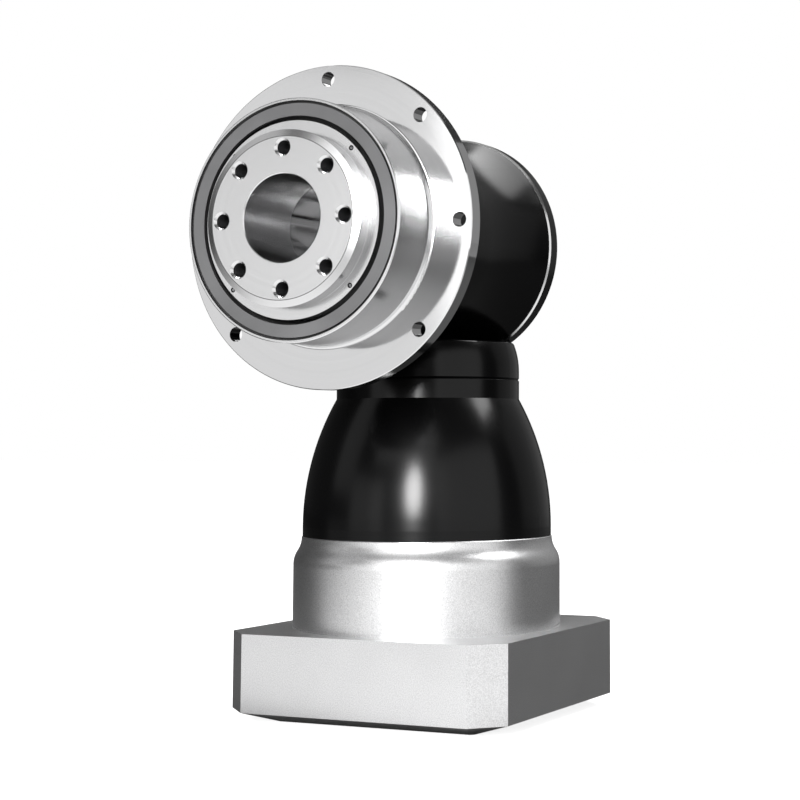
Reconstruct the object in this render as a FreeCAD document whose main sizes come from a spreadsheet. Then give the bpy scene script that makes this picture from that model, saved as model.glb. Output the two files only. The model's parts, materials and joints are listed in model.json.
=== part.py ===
import FreeCAD, Part
import math
import os
import re
import Sketcher

# Right-angle hypoid gearbox. The input axis is +Z through the origin, which lies on the motor face.
# The output axis runs along Y above it, offset in X, and its flange faces -Y.
# Output pieces are drawn in a frame whose local Z is the way the flange faces, called reach below.

Vector = FreeCAD.Vector
doc = FreeCAD.newDocument("HypoidGearbox")

# Driving dimensions in millimetres, and angles in degrees
SIZES = [
    ("plate_width", 118.5, "motor plate across its flats"),
    ("plate_height", 29.5, "motor plate side height"),
    ("plate_corner", 11.3, "leg of the plate's corner chamfers"),
    ("pad_inset", 17, "how far the bevel under the plate runs in"),
    ("pad_depth", 5, "height of the bevel under the plate"),
    ("pilot_r", 40, "motor pilot recess radius"),
    ("pilot_depth", 4, "motor pilot recess depth"),
    ("clamp_room", 5, "room around the clamp ring"),
    ("motor_bolt_circle_r", 50, "motor bolt circle radius"),
    ("motor_tap_r", 3, "motor screw holes, M6"),
    ("motor_tap_depth", 16, "motor screw hole depth"),
    ("plate_screw_inset", 5, "plate screws beyond the clamp ring's bore"),
    ("collar_height", 35.5, "adapter collar height"),
    ("collar_step", 3.5, "collar radius beyond the bell's"),
    ("collar_curve", 10.8, "height of the collar's curved shoulder"),
    ("collar_foot", 0.6, "groove at the collar's foot and lip under it"),
    ("collar_web", 12, "collar floor thickness"),
    ("bell_spigot_wall", 1.65, "wall of the bell's spigot in the collar"),
    ("access_r", 5, "clamp screw access bore radius"),
    ("plug_length", 6, "access plug length"),
    ("plug_recess", 1.5, "how far the plug lies below the collar's outside"),
    ("bell_flare", 12.9, "bell radius at the collar beyond the neck's"),
    ("bell_height", 62, "bell height"),
    ("bell_foot", 3.8, "straight stretch under the flare"),
    ("bell_neck", 7.8, "straight stretch above the flare"),
    ("bell_screw_room", 7.8, "room for screw heads between sleeve and bell"),
    ("bell_spigot", 4, "bell spigot length in the collar"),
    ("bell_roof", 23, "solid stretch at the bell's top"),
    ("neck_wall", 3.8, "housing neck beyond its screw circle"),
    ("neck_height", 3.4, "straight neck above the bell"),
    ("neck_groove", 0.5, "groove depth and half width at the neck joint"),
    ("dome_r", 30, "curve of the neck's side"),
    ("dome_height", 11.5, "height of that curved side"),
    ("dome_edge", 1.2, "rounding of the neck's top edge"),
    ("sleeve_wall", 3, "wall of the bearing sleeve inside the bell"),
    ("cup_r", 26, "pinion bearing outer radius"),
    ("cone_r", 12.5, "pinion bearing bore radius"),
    ("taper_width", 16.25, "pinion bearing width"),
    ("taper_roller_r", 3.1, "pinion roller mean radius"),
    ("taper_roller_length", 11, "pinion roller length"),
    ("taper_tilt", 14, "pinion roller axis tilt"),
    ("taper_angle", 1.5, "pinion roller half taper"),
    ("taper_rollers", 14, "rollers in each pinion bearing"),
    ("taper_rib", 1.2, "rib height at the rollers' large ends"),
    ("taper_rib_gap", 0.3, "gap between rib and rollers"),
    ("seat_rise", 3.5, "upper bearing shoulder above the bell"),
    ("spacer_length", 11.75, "spacer between the pinion bearings"),
    ("lock_nut_height", 7, "pinion lock nut and adjusting ring height"),
    ("nut_room", 1.6, "room between lock nut and adjusting ring"),
    ("adjust_ring_wall", 5.4, "wall of the adjusting ring"),
    ("key_slot_r", 2, "radius of spanner slots in nuts and rings"),
    ("key_slot_depth", 3, "depth of spanner slots"),
    ("thread_drop", 0.3, "pinion thread below the bearing seat"),
    ("input_seal_height", 6, "input shaft seal height"),
    ("seal_land_r", 12, "shaft radius under the input seal"),
    ("seal_wall", 2, "wall of the seals"),
    ("seal_margin", 1, "room above the input seal"),
    ("throat_room", 0.6, "room around the pinion's shoulder"),
    ("throat_wall", 3.5, "wall around the pinion's bore above the neck"),
    ("pinion_shoulder_r", 14.6, "pinion shoulder on the upper bearing"),
    ("pinion_shoulder_height", 5, "pinion shoulder height"),
    ("tail_end_r", 10, "pinion tail radius in the clamping hub"),
    ("tail_end_length", 16, "pinion tail length in the clamping hub"),
    ("hub_gap", 2, "room between the sleeve and the clamping hub"),
    ("hub_length", 45, "clamping hub length"),
    ("hub_head_step", 2, "clamping hub head beyond its sleeve"),
    ("hub_head_height", 18, "clamping hub head height"),
    ("hub_sleeve_wall", 5.5, "wall of the clamping hub's sleeve"),
    ("motor_shaft_r", 9.5, "motor shaft bore radius"),
    ("hub_slit", 1.5, "clamping hub slit width"),
    ("hub_slit_length", 24, "clamping hub slit length"),
    ("clamp_ring_wall", 10, "wall of the clamp ring"),
    ("clamp_ring_height", 16, "clamp ring height"),
    ("clamp_ring_lift", 4, "clamp ring above the hub's lower end"),
    ("clamp_slit", 3, "clamp ring slit width"),
    ("clamp_screw_length", 16, "clamp screw length under its head"),
    ("clamp_seat", 6.5, "clamp screw seat from the slit's middle"),
    ("axis_offset", 3, "hypoid offset of the output axis"),
    ("axis_rise", 53.7, "output axis above the bell"),
    ("face_reach", 114.5, "output face from the input axis"),
    ("spigot_r", 31.5, "output spigot radius"),
    ("spigot_height", 6.5, "output spigot height"),
    ("spigot_bevel", 2.4, "bevel of the output face, across"),
    ("spigot_bevel_drop", 1, "bevel of the output face, along the axis"),
    ("output_bore_r", 15.75, "output bore radius"),
    ("output_bore_depth", 62, "output bore depth"),
    ("bore_edge", 0.3, "bevel at the output bore's mouth"),
    ("face_bolt_circle_r", 25, "output face bolt circle radius"),
    ("face_tap_r", 3, "output face screw holes, M6"),
    ("face_tap_depth", 12, "output face screw hole depth"),
    ("face_countersink", 0.35, "countersink of the output face holes"),
    ("pin_inset", 1.4, "small holes inside the rotor shoulder's edge"),
    ("pin_hole_r", 0.95, "radius of the small holes"),
    ("pin_hole_depth", 3, "depth of the small holes"),
    ("shoulder_step", 4, "rotor shoulder beyond the spigot"),
    ("shoulder_length", 10.5, "rotor shoulder length"),
    ("shoulder_relief", 0.5, "relief of the shoulder over the outer ring"),
    ("journal_r", 27.5, "rotor journal radius"),
    ("rotor_thread_r", 27, "rotor thread radius"),
    ("rotor_nut_r", 32.5, "rotor lock nut radius"),
    ("rotor_nut_height", 6.5, "rotor lock nut height"),
    ("rotor_shaft_r", 24.5, "rotor shaft radius"),
    ("gear_flange_r", 30, "rotor flange behind the ring gear"),
    ("gear_flange_thickness", 8, "rotor flange thickness"),
    ("gear_seat_r", 16.5, "rotor seat radius for the ring gear"),
    ("rotor_tail_r", 15, "rotor tail radius"),
    ("hub_wall", 0.95, "wall of the flange housing's hub"),
    ("hub_bevel", 0.3, "flange housing hub bevel"),
    ("hub_root", 1.4, "rounding at the hub's root"),
    ("flange_width", 15.9, "flange beyond the hub"),
    ("flange_thickness", 6.5, "flange thickness"),
    ("edge_break", 0.3, "bevel on sharp outer edges"),
    ("flange_reach", 84.5, "flange front from the input axis"),
    ("flange_bolt_inset", 5.1, "flange bolt circle inside the flange's edge"),
    ("flange_hole_r", 2.75, "flange hole radius, M5"),
    ("main_bearing_r", 40, "main bearing outer radius"),
    ("main_bearing_width", 16, "main bearing width"),
    ("main_roller_r", 3, "main bearing roller radius"),
    ("main_roller_length", 5.7, "main bearing roller length"),
    ("main_rollers", 24, "main bearing rollers, crossed in turn"),
    ("ring_split", 0.6, "half gap between the main bearing rings"),
    ("retainer_height", 2.5, "bearing retaining ring height"),
    ("retainer_room", 0.9, "room between retaining ring and rotor shoulder"),
    ("seal_step", 2.75, "output seal bore beyond the main bearing"),
    ("output_seal_height", 6, "output seal height"),
    ("seal_face_room", 1.75, "room between seal face and rotor shoulder"),
    ("seal_face_inset", 1, "seal face inside the seal's bore"),
    ("seal_face_height", 1.6, "seal face ring height"),
    ("lip_wall", 2.2, "wall of the flange housing's lip"),
    ("spigot_lip_length", 4, "flange housing lip length in the barrel"),
    ("barrel_wall", 2.8, "housing barrel wall"),
    ("gear_room", 1.2, "room around the ring gear"),
    ("barrel_rear_step", 3.2, "step of the bore behind the ring gear"),
    ("barrel_bore_end", 4, "end of the wider bore, before the input axis"),
    ("barrel_flange_wall", 5, "barrel front flange beyond its screw circle"),
    ("barrel_flange_thickness", 7, "housing barrel front flange thickness"),
    ("barrel_screw_step", 4, "screws from the barrel beyond the main bearing"),
    ("barrel_head_step", 5, "least distance of those screws from the barrel"),
    ("flare_length", 37.5, "length of the barrel's flare"),
    ("rim_flare", 7, "rear rim beyond the barrel"),
    ("rim_edge", 0.6, "bevel on the rear rim's front edge"),
    ("rim_start", 12.5, "rear rim behind the input axis"),
    ("rim_width", 6.5, "rear rim width"),
    ("rim_clear", 0.5, "trim of the neck behind the rear rim"),
    ("rim_wall", 4, "wall of the rear rim around the cover"),
    ("cover_thickness", 3, "rear cover thickness"),
    ("cover_boss_wall", 6, "wall of the rear cover's boss around its bearing"),
    ("cover_boss_height", 7.5, "rear cover boss height"),
    ("cover_boss_bevel", 1.5, "rear cover boss bevel"),
    ("cover_end_room", 1, "room behind the rotor's tail"),
    ("cover_screw_inset", 3, "rear cover screw circle inside the cover's edge"),
    ("rear_bearing_r", 21, "rear bearing outer radius"),
    ("rear_bearing_width", 7, "rear bearing width"),
    ("rear_roller_r", 1.7, "rear bearing roller radius"),
    ("rear_rollers", 16, "rear bearing rollers"),
    ("rear_ring_split", 0.9, "half gap between the rear bearing rings"),
    ("rear_rib", 1.2, "rib width of the rear bearing rings"),
    ("ring_teeth", 36, "ring gear teeth"),
    ("pinion_teeth", 12, "pinion teeth"),
    ("ring_in_r", 23, "ring gear inner tooth radius"),
    ("ring_out_r", 35, "ring gear outer tooth radius"),
    ("ring_back", 30, "ring gear back face from the input axis"),
    ("ring_web_face", 14, "ring gear web face from the input axis"),
    ("spiral_angle", 32, "ring gear spiral angle at mid face"),
    ("cutter_r", 26, "radius of the ring teeth's lengthwise arc"),
    ("pressure_angle", 20, "ring tooth flank angle"),
    ("ring_addendum", 0.8, "ring tooth above the pitch cone at mid face"),
    ("ring_dedendum", 2.1, "ring tooth below the pitch cone at mid face"),
    ("tip_clearance", 0.3, "clearance at tooth tips"),
    ("tooth_margin", 0.3, "ledge at both tooth ends"),
    ("backlash", 0.2, "backlash at the flanks"),
    ("gear_screw_circle_r", 19.6, "ring gear screw circle radius"),
    ("oring_r", 0.9, "O-ring section radius"),
    ("oring_flange_land", 2.9, "land inside the flange O-ring"),
    ("oring_cover_land", 1.4, "land inside the rear cover O-ring"),
    ("oring_neck", 6, "neck O-ring below the bell's top"),
    ("screw3_r", 1.5, "M3 shank radius"),
    ("screw3_head_r", 2.75, "M3 head radius"),
    ("screw3_head", 3, "M3 head height"),
    ("screw3_socket", 1.44, "M3 hexagon socket radius"),
    ("screw3_grip", 6, "M3 thread engagement"),
    ("screw4_r", 2, "M4 shank radius"),
    ("screw4_head_r", 3.5, "M4 head radius"),
    ("screw4_head", 4, "M4 head height"),
    ("screw4_socket", 1.73, "M4 hexagon socket radius"),
    ("screw4_grip", 6.5, "M4 thread engagement"),
    ("screw5_r", 2.5, "M5 shank radius"),
    ("screw5_head_r", 4.25, "M5 head radius"),
    ("screw5_head", 5, "M5 head height"),
    ("screw5_socket", 2.31, "M5 hexagon socket radius"),
    ("screw5_grip", 10, "M5 thread engagement"),
    ("screw6_r", 3, "M6 shank radius"),
    ("screw6_head_r", 5, "M6 head radius"),
    ("screw6_head", 6, "M6 head height"),
    ("screw6_socket", 2.89, "M6 hexagon socket radius"),
    ("flange_screw_grip", 4.6, "thread engagement in the flange"),
    ("socket_share", 0.6, "socket depth as a share of the head"),
    ("head_room", 0.3, "room around sunk screw heads"),
    ("head_sink", 1, "how deep sunk screw heads lie"),
    ("tap_room", 1, "thread hole beyond the screw's tip"),
    ("fit", 0.05, "clearance of close fits"),
    ("running", 0.06, "clearance of running fits"),
]

# Stations and sizes worked out from the driving dimensions
DERIVED = {
    "plate_half": "plate_width / 2",
    "pad_half": "plate_half - pad_inset",
    "pad_corner": "plate_corner - pad_inset * (2 - sqrt(2))",
    "plate_top": "pad_depth + plate_height",
    "sleeve_r": "cup_r + sleeve_wall",
    "bell_bore_r": "sleeve_r + bell_screw_room",
    "bell_screw_circle_r": "(sleeve_r + bell_bore_r) / 2",
    "neck_r": "bell_screw_circle_r + neck_wall",
    "bell_base_r": "neck_r + bell_flare",
    "collar_r": "bell_base_r + collar_step",
    "collar_bore_r": "bell_bore_r + bell_spigot_wall + fit",
    "collar_screw_circle_r": "(collar_bore_r + bell_base_r) / 2",
    "hub_sleeve_r": "motor_shaft_r + hub_sleeve_wall",
    "hub_head_r": "hub_sleeve_r + hub_head_step",
    "clamp_ring_r": "hub_sleeve_r + clamp_ring_wall",
    "clamp_screw_arm": "(hub_sleeve_r + clamp_ring_r) / 2 - 4 * fit",
    "hub_room_r": "clamp_ring_r + clamp_room",
    "plate_screw_circle_r": "hub_room_r + plate_screw_inset",
    "plate_screw_seat": "pilot_depth + screw5_head + head_sink",
    "collar_top": "plate_top + collar_height",
    "collar_screw_seat": "plate_top + screw5_head + head_sink",
    "collar_shoulder": "collar_top - collar_curve",
    "collar_rise": "collar_curve - edge_break",
    "collar_run": "collar_step - edge_break",
    "collar_arc": "(collar_rise ^ 2 + collar_run ^ 2) / (4 * collar_run)",
    "web_top": "plate_top + collar_web",
    "bell_top": "collar_top + bell_height",
    "bell_kink": "bell_top - bell_neck",
    "flare_base": "collar_top + bell_foot",
    "bell_arc": "((bell_kink - flare_base) ^ 2 + bell_flare ^ 2) / (2 * bell_flare)",
    "bell_ledge": "bell_top - bell_roof",
    "neck_edge_r": "neck_r - neck_groove",
    "dome_base": "bell_top + neck_height",
    "dome_top": "dome_base + dome_height",
    "dome_lift": "dome_height - dome_edge",
    "dome_run": "sqrt((dome_r - dome_edge) ^ 2 - dome_lift ^ 2)",
    "dome_share": "dome_r / (dome_r - dome_edge)",
    "dome_middle_r": "neck_r - dome_r",
    "axis_height": "bell_top + axis_rise",
    "upper_seat": "bell_top + seat_rise",
    "throat_r": "pinion_shoulder_r + throat_room",
    "throat_boss_r": "throat_r + throat_wall",
    "upper_base": "upper_seat - taper_width",
    "lower_top": "upper_base - spacer_length",
    "lower_base": "lower_top - taper_width",
    "nut_base": "lower_base - lock_nut_height",
    "input_seal_base": "nut_base - seal_margin - input_seal_height",
    "hub_top": "input_seal_base - hub_gap",
    "hub_base": "hub_top - hub_length",
    "tail_base": "hub_top - tail_end_length",
    "clamp_base": "hub_base + clamp_ring_lift",
    "clamp_middle": "clamp_base + clamp_ring_height / 2",
    "plug_out": "sqrt(collar_r ^ 2 - clamp_screw_arm ^ 2) - plug_recess",
    "bore_cup_r": "cup_r + fit",
    "taper_circle_r": "(cup_r + cone_r) / 2",
    "adjust_ring_in_r": "cup_r - adjust_ring_wall",
    "lock_nut_r": "adjust_ring_in_r - nut_room",
    "pinion_thread_r": "cone_r - thread_drop",
    "oring_neck_r": "sleeve_r + fit - oring_r",
    "oring_neck_height": "bell_top - oring_neck",
    "shoulder_front": "face_reach - spigot_height",
    "shoulder_r": "spigot_r + shoulder_step",
    "pin_circle_r": "shoulder_r - pin_inset",
    "bearing_front": "shoulder_front - shoulder_length",
    "bearing_back": "bearing_front - main_bearing_width",
    "bearing_middle": "bearing_front - main_bearing_width / 2",
    "main_roller_circle_r": "(main_bearing_r + journal_r) / 2",
    "rotor_nut_back": "bearing_back - rotor_nut_height",
    "inner_ring_r": "main_roller_circle_r - ring_split",
    "outer_ring_r": "main_roller_circle_r + ring_split",
    "roller_reach": "(main_roller_r + running) * sqrt(2)",
    "seal_back": "bearing_front + retainer_height",
    "seal_front": "seal_back + output_seal_height",
    "seal_bore_r": "main_bearing_r + seal_step",
    "hub_r": "seal_bore_r + hub_wall",
    "flange_r": "hub_r + flange_width",
    "flange_bolt_circle_r": "flange_r - flange_bolt_inset",
    "retainer_in_r": "max(shoulder_r; inner_ring_r) + retainer_room",
    "seal_face_in_r": "shoulder_r + seal_face_room",
    "seal_face_out_r": "seal_bore_r - seal_face_inset",
    "flange_back": "flange_reach - flange_thickness",
    "barrel_back": "flange_back - barrel_flange_thickness",
    "barrel_bore_r": "ring_out_r + gear_room",
    "barrel_r": "barrel_bore_r + barrel_wall",
    "barrel_rear_r": "barrel_bore_r - barrel_rear_step",
    "spigot_lip_r": "barrel_bore_r - lip_wall",
    "barrel_screw_circle_r": "max(main_bearing_r + barrel_screw_step; barrel_r + barrel_head_step)",
    "barrel_flange_r": "barrel_screw_circle_r + barrel_flange_wall",
    "rim_r": "barrel_r + rim_flare",
    "oring_flange_r": "barrel_bore_r + oring_flange_land + oring_r",
    "flare_step": "rim_r - rim_edge - barrel_r",
    "flare_start": "rim_start - flare_length",
    "flare_arc": "((flare_length - rim_edge) ^ 2 + flare_step ^ 2) / (2 * flare_step)",
    "rear_face": "rim_start + rim_width",
    "cover_r": "rim_r - rim_wall",
    "cover_boss_r": "rear_bearing_r + cover_boss_wall",
    "cover_screw_circle_r": "cover_r - cover_screw_inset",
    "oring_cover_r": "barrel_rear_r + oring_cover_land + oring_r",
    "cover_front": "rear_face - cover_thickness",
    "cover_back": "rear_face + cover_boss_height",
    "rear_bearing_back": "cover_front + rear_bearing_width",
    "rear_circle_r": "(rotor_tail_r + rear_bearing_r) / 2",
    "gear_flange_front": "ring_back + gear_flange_thickness",
}
NODES = []

sheet = doc.addObject("Spreadsheet::Sheet", "Sizes")
for row, (name, size, meaning) in enumerate(SIZES, start=1):
    sheet.set("A%d" % row, name)
    sheet.set("B%d" % row, str(size))
    sheet.set("C%d" % row, meaning)
    sheet.setAlias("B%d" % row, name)
doc.recompute()
ALIASES = {name for name, size, meaning in SIZES}


def bind(text):
    """An expression on the sheet: derived names are written out, sheet names get the sheet's prefix."""
    def swap(match):
        word = match.group(0)
        if word in DERIVED:
            return "(%s)" % bind(DERIVED[word])
        return "Sizes." + word if word in ALIASES else word
    return re.sub(r"\b[a-z][a-z_0-9]*\b", swap, str(text))


def value(text):
    """The number that an expression gives now."""
    return float(sheet.evalExpression(bind(text)))


# Frames, sketches and features

UPRIGHT = {"XY_Plane": Vector(0, 0, 1), "XZ_Plane": Vector(0, 1, 0), "YZ_Plane": Vector(1, 0, 0)}


def new_body(label):
    body = doc.addObject("PartDesign::Body", label)
    body.Label = label
    body.AllowCompound = True
    NODES.append(body)
    return body


def on_output_axis(piece, reach="0"):
    """Place a piece so that its local Z is the output axis, facing the output side, with local Y up."""
    piece.Placement = FreeCAD.Placement(Vector(), FreeCAD.Rotation(Vector(1, 0, 0), 90))
    piece.setExpression("Placement.Base.x", bind("axis_offset"))
    piece.setExpression("Placement.Base.y", bind("-(%s)" % reach))
    piece.setExpression("Placement.Base.z", bind("axis_height"))
    return piece


def origin_feature(body, role):
    return next(item for item in body.Origin.OriginFeatures if item.Role == role)


def new_sketch(body, name, role="XZ_Plane", turn=0, shift=("0", "0", "0")):
    """A sketch on one of the body's own planes, turned about its upright line and then shifted."""
    sketch = body.newObject("Sketcher::SketchObject", name)
    sketch.AttachmentSupport = (origin_feature(body, role), [""])
    sketch.MapMode = "FlatFace"
    sketch.AttachmentOffset = FreeCAD.Placement(Vector(), FreeCAD.Rotation(UPRIGHT[role], turn))
    for axis, amount in zip("xyz", shift):
        if amount != "0":
            sketch.setExpression("AttachmentOffset.Base." + axis, bind(amount))
    return sketch


def output_sketch(body, name, turn=0):
    """A sketch through the output axis of a body that is drawn about the input axis: x is world Y."""
    return new_sketch(body, name, role="YZ_Plane", turn=turn, shift=("0", "axis_height", "axis_offset"))


def datum(sketch, kind, geometry, vertex, text):
    """One coordinate of a vertex, measured from the sketch's origin and bound to the sheet."""
    constraint = sketch.addConstraint(Sketcher.Constraint(kind, -1, 1, geometry, vertex, value(text)))
    sketch.setExpression("Constraints[%d]" % constraint, bind(text))


def radius_of(sketch, geometry, text):
    constraint = sketch.addConstraint(Sketcher.Constraint("Radius", geometry, value(text)))
    sketch.setExpression("Constraints[%d]" % constraint, bind(text))


def arc_between(start, end, radius, side):
    """The short arc from start to end whose centre lies to the left or right of the way along it."""
    chord = end - start
    across = Vector(-chord.y, chord.x, 0).normalize()
    if side == "right":
        across = across * -1
    centre = (start + end) * 0.5 + across * math.sqrt(max(radius ** 2 - (chord.Length / 2) ** 2, 0))
    first, last = (start, end) if side == "left" else (end, start)
    angles = [math.atan2(point.y - centre.y, point.x - centre.x) for point in (first, last)]
    if angles[1] < angles[0]:
        angles[1] += 2 * math.pi
    return Part.ArcOfCircle(Part.Circle(centre, Vector(0, 0, 1), radius), angles[0], angles[1])


def outline(sketch, corners):
    """A closed outline. A corner is (x, y), or (x, y, side, radius) where an arc leads to the next one."""
    points = [Vector(value(corner[0]), value(corner[1]), 0) for corner in corners]
    ends = []
    for start, end, corner in zip(points, points[1:] + points[:1], corners):
        if len(corner) == 2:
            edge = sketch.addGeometry(Part.LineSegment(start, end), False)
            ends.append((edge, 1, 2))
        else:
            edge = sketch.addGeometry(arc_between(start, end, value(corner[3]), corner[2]), False)
            ends.append((edge, 1, 2) if corner[2] == "left" else (edge, 2, 1))
    for (edge, first, last), (following, near, far) in zip(ends, ends[1:] + ends[:1]):
        sketch.addConstraint(Sketcher.Constraint("Coincident", edge, last, following, near))
    for (edge, first, last), corner in zip(ends, corners):
        datum(sketch, "DistanceX", edge, first, corner[0])
        datum(sketch, "DistanceY", edge, first, corner[1])
        if len(corner) == 4:
            radius_of(sketch, edge, corner[3])
    return sketch


def circle(sketch, x, y, radius):
    round_edge = Part.Circle(Vector(value(x), value(y), 0), Vector(0, 0, 1), value(radius))
    edge = sketch.addGeometry(round_edge, False)
    datum(sketch, "DistanceX", edge, 3, x)
    datum(sketch, "DistanceY", edge, 3, y)
    radius_of(sketch, edge, radius)
    return sketch


def hexagon(sketch, x, y, radius):
    corners = []
    for angle in range(0, 360, 60):
        corners.append(("%s + %s * cos(%d)" % (x, radius, angle), "%s + %s * sin(%d)" % (y, radius, angle)))
    return outline(sketch, corners)


def rectangle(sketch, left, right, low, high):
    return outline(sketch, [(left, low), (right, low), (right, high), (left, high)])


def centre_line(sketch, start, end):
    """A construction line to revolve about."""
    points = [Vector(value(x), value(y), 0) for x, y in (start, end)]
    line = sketch.addGeometry(Part.LineSegment(*points), True)
    for vertex, (x, y) in enumerate((start, end), start=1):
        datum(sketch, "DistanceX", line, vertex, x)
        datum(sketch, "DistanceY", line, vertex, y)
    return sketch


def needs_cut(body, name, before):
    if not body.Shape.Volume < before:
        raise RuntimeError(name + " cuts nothing")


def revolve(body, name, sketch, axis="V_Axis"):
    feature = body.newObject("PartDesign::Revolution", name)
    feature.Profile = sketch
    feature.ReferenceAxis = (sketch, [axis])
    feature.Angle = 360
    doc.recompute()
    return feature


def groove(body, name, sketch, axis="V_Axis"):
    before = body.Shape.Volume
    feature = body.newObject("PartDesign::Groove", name)
    feature.Profile = sketch
    feature.ReferenceAxis = (sketch, [axis])
    feature.Angle = 360
    doc.recompute()
    needs_cut(body, name, before)
    return feature


def pad(body, name, sketch, length):
    feature = body.newObject("PartDesign::Pad", name)
    feature.Profile = sketch
    feature.setExpression("Length", bind(length))
    doc.recompute()
    return feature


def pocket(body, name, sketch, length, reverse=False, both=False):
    before = body.Shape.Volume
    feature = body.newObject("PartDesign::Pocket", name)
    feature.Profile = sketch
    feature.setExpression("Length", bind(length))
    feature.Reversed = reverse
    feature.Midplane = both
    doc.recompute()
    needs_cut(body, name, before)
    return feature


def ring_of(body, name, feature, count, axis=None, angle=360):
    """A polar pattern of a feature about the body's own Z axis, or about a sketch's axis."""
    pattern = body.newObject("PartDesign::PolarPattern", name)
    pattern.Originals = [feature]
    pattern.Axis = axis or (origin_feature(body, "Z_Axis"), [""])
    pattern.Angle = angle
    pattern.setExpression("Occurrences", bind(count))
    body.Tip = pattern
    doc.recompute()
    return pattern


def turned(label, corners):
    """A piece turned from one outline of (radius, station) corners."""
    body = new_body(label)
    revolve(body, label + "_turned", outline(new_sketch(body, label + "_profile"), corners))
    return body


def tube(label, inner, outer, low, high):
    return turned(label, [(inner, low), (outer, low), (outer, high), (inner, high)])


def bored(body, name, circle_r, steps, count, turn=0, angle=360, on_output=False):
    """A circle of stepped holes along the body's Z, or along the output axis. A step is (radius, from, to),
    or (radius, from, to, end radius) for a cone."""
    corners = [(circle_r, steps[0][1])]
    for step in steps:
        end_r = step[3] if len(step) == 4 else step[0]
        for corner in (("%s + %s" % (circle_r, step[0]), step[1]), ("%s + %s" % (circle_r, end_r), step[2])):
            if corner != corners[-1]:
                corners.append(corner)
    corners.append((circle_r, steps[-1][2]))
    if on_output:
        sketch = output_sketch(body, name + "_profile", turn=turn)
        corners = [(y, x) for x, y in corners]
        axis = (sketch, ["H_Axis"])
    else:
        sketch = new_sketch(body, name + "_profile", turn=turn)
        axis = None
    outline(sketch, corners)
    centre_line(sketch, corners[0], corners[-1])
    hole = groove(body, name, sketch, axis="Axis0")
    return ring_of(body, name + "_ring", hole, count, axis=axis, angle=angle)


def cap_screws(label, size, circle_r, seat, length, count, turn=0):
    """Cap screws on a circle, heads down: the head hangs under its seat and the shank runs up from it."""
    head_low = "%s - %s_head" % (seat, size)
    tip = "%s + %s" % (seat, length)
    shank = "%s + %s_r" % (circle_r, size)
    head = "%s + %s_head_r" % (circle_r, size)
    body = new_body(label)
    sketch = new_sketch(body, label + "_profile", turn=turn)
    outline(sketch, [(circle_r, head_low), (head, head_low), (head, seat), (shank, seat), (shank, tip),
                     (circle_r, tip)])
    centre_line(sketch, (circle_r, head_low), (circle_r, tip))
    screw = revolve(body, label + "_screw", sketch, axis="Axis0")
    ring_of(body, label + "_ring", screw, count)
    socket = new_sketch(body, label + "_socket", role="XY_Plane", turn=turn, shift=("0", "0", head_low))
    hexagon(socket, circle_r, "0", size + "_socket")
    cut = pocket(body, label + "_socket_cut", socket, size + "_head * socket_share", reverse=True)
    ring_of(body, label + "_sockets", cut, count)
    return body


def o_ring(label, ring_r):
    ring = doc.addObject("Part::Torus", label)
    ring.Label = label
    ring.setExpression("Radius1", bind(ring_r))
    ring.setExpression("Radius2", bind("oring_r - fit"))
    NODES.append(ring)
    return ring


def solid_piece(label, shape):
    piece = doc.addObject("Part::Feature", label)
    piece.Label = label
    piece.Shape = shape
    NODES.append(piece)
    return piece


# Motor side: plate, collar and bell

def chamfered_square(body, name, half, corner, height):
    """The plate's outline at one height."""
    sketch = new_sketch(body, name, role="XY_Plane", shift=("0", "0", height))
    inner = "(%s - (%s))" % (half, corner)
    corners = []
    for x, y in ((1, -1), (1, 1), (-1, 1), (-1, -1)):
        side = ("%d * %s" % (x, half), "%d * %s" % (y, inner))
        flat = ("%d * %s" % (x, inner), "%d * %s" % (y, half))
        corners += [side, flat] if x * y > 0 else [flat, side]
    return outline(sketch, corners)


def make_motor_plate():
    body = new_body("motor_plate")
    pad(body, "plate_block", chamfered_square(body, "plate_side", "plate_half", "plate_corner", "pad_depth"),
        "plate_height")
    foot = chamfered_square(body, "plate_foot", "pad_half", "pad_corner", "0")
    bevel = body.newObject("PartDesign::AdditiveLoft", "plate_bevel")
    bevel.Profile = foot
    bevel.Sections = [chamfered_square(body, "bevel_top", "plate_half", "plate_corner", "pad_depth")]
    bevel.Ruled = True
    doc.recompute()
    groove(body, "plate_bore", outline(new_sketch(body, "plate_bore_profile"), [
        ("0", "0"), ("pilot_r", "0"), ("pilot_r", "pilot_depth"), ("hub_room_r", "pilot_depth"),
        ("hub_room_r", "plate_top"), ("0", "plate_top")]))
    bored(body, "motor_taps", "motor_bolt_circle_r", [("motor_tap_r", "0", "motor_tap_depth")], "4", turn=45)
    bored(body, "plate_screw_holes", "plate_screw_circle_r",
          [("screw5_head_r + head_room", "pilot_depth", "plate_screw_seat"),
           ("screw5_r + fit", "plate_screw_seat", "plate_top")], "4")
    cap_screws("motor_plate_screws", "screw5", "plate_screw_circle_r", "plate_screw_seat",
               "plate_top - plate_screw_seat + screw5_grip", "4")


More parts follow.
